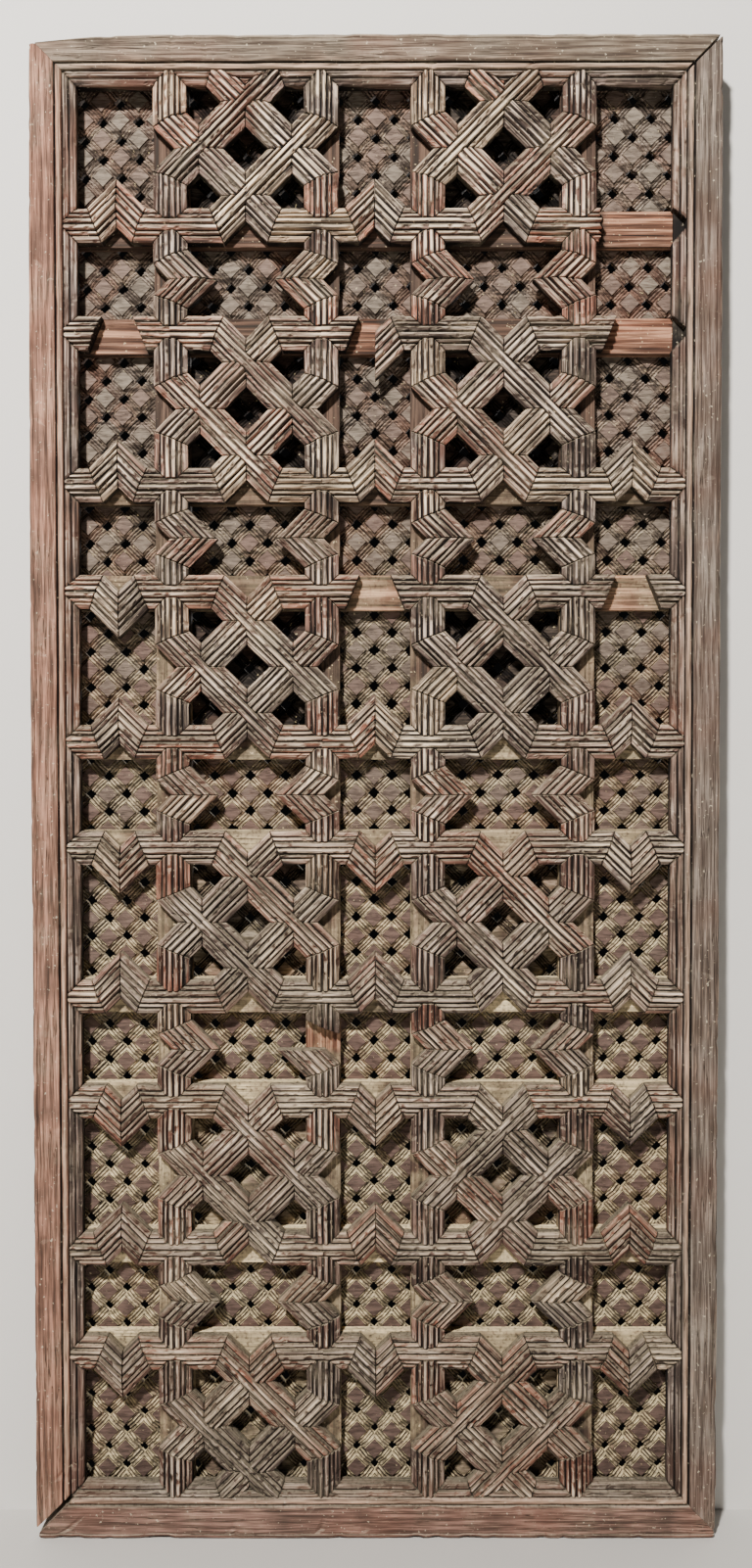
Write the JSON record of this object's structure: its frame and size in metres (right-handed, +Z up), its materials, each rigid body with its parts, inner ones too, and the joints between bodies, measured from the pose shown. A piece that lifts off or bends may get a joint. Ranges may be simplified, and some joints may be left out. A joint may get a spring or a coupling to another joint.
{
  "type": "mashrabiya screen",
  "caption": "Upright wooden lattice screen: mitred frame, crossed laths behind boards, and reeded strapwork of stars and crossed diagonals, with some straps lost.",
  "frame": {"origin": "on the back face of the bottom rail, half way along it", "axes": "+Z up the screen, +X to the right seen from the front, the carved front faces -Y and the back faces +Y"},
  "size_m": [0.8084, 0.06, 1.7645],
  "materials": {
    "frame_wood": "weathered dark brown with reddish streaks",
    "board_wood": "bare, cracked, reddish brown where straps are lost",
    "lath_wood": "grey-tan under dust",
    "strap_wood": "weathered grey-brown with pale worn ridges"
  },
  "bodies": {
    "root": {"back_laths": "lath_wood", "bottom_rail": "frame_wood", "cross_board_1": "board_wood", "cross_board_10": "board_wood", "cross_board_2": "board_wood", "cross_board_3": "board_wood", "cross_board_4": "board_wood", "cross_board_5": "board_wood", "cross_board_6": "board_wood", "cross_board_7": "board_wood", "cross_board_8": "board_wood", "cross_board_9": "board_wood", "front_laths": "lath_wood", "left_stile": "frame_wood", "right_stile": "frame_wood", "strap_bottom_1": "strap_wood", "strap_bottom_2": "strap_wood", "strap_bottom_3": "strap_wood", "strap_bottom_4": "strap_wood", "strap_lattice_1_1": "strap_wood", "strap_lattice_1_2": "strap_wood", "strap_lattice_2_1": "strap_wood", "strap_lattice_2_2": "strap_wood", "strap_lattice_3_1": "strap_wood", "strap_lattice_3_2": "strap_wood", "strap_lattice_4_1": "strap_wood", "strap_lattice_4_2": "strap_wood", "strap_lattice_5_1": "strap_wood", "strap_lattice_5_2": "strap_wood", "strap_lattice_6_1": "strap_wood", "strap_lattice_6_2": "strap_wood", "strap_star_1_1": "strap_wood", "strap_star_1_2": "strap_wood", "strap_star_1_3": "strap_wood", "strap_star_2_1": "strap_wood", "strap_star_2_2": "strap_wood", "strap_star_2_3": "strap_wood", "strap_star_3_1": "strap_wood", "strap_star_3_2": "strap_wood", "strap_star_3_3": "strap_wood", "strap_star_4_1": "strap_wood", "strap_star_4_2": "strap_wood", "strap_star_4_3": "strap_wood", "strap_star_5_1": "strap_wood", "strap_star_5_2": "strap_wood", "strap_star_5_3": "strap_wood", "strap_stub_1_1_1": "strap_wood", "strap_stub_2_3_1": "strap_wood", "strap_top_1": "strap_wood", "strap_top_2": "strap_wood", "strap_top_3": "strap_wood", "strap_top_4": "strap_wood", "top_rail": "frame_wood", "upright_board_1": "board_wood", "upright_board_2": "board_wood", "upright_board_3": "board_wood", "upright_board_4": "board_wood"}
  },
  "joints": []
}
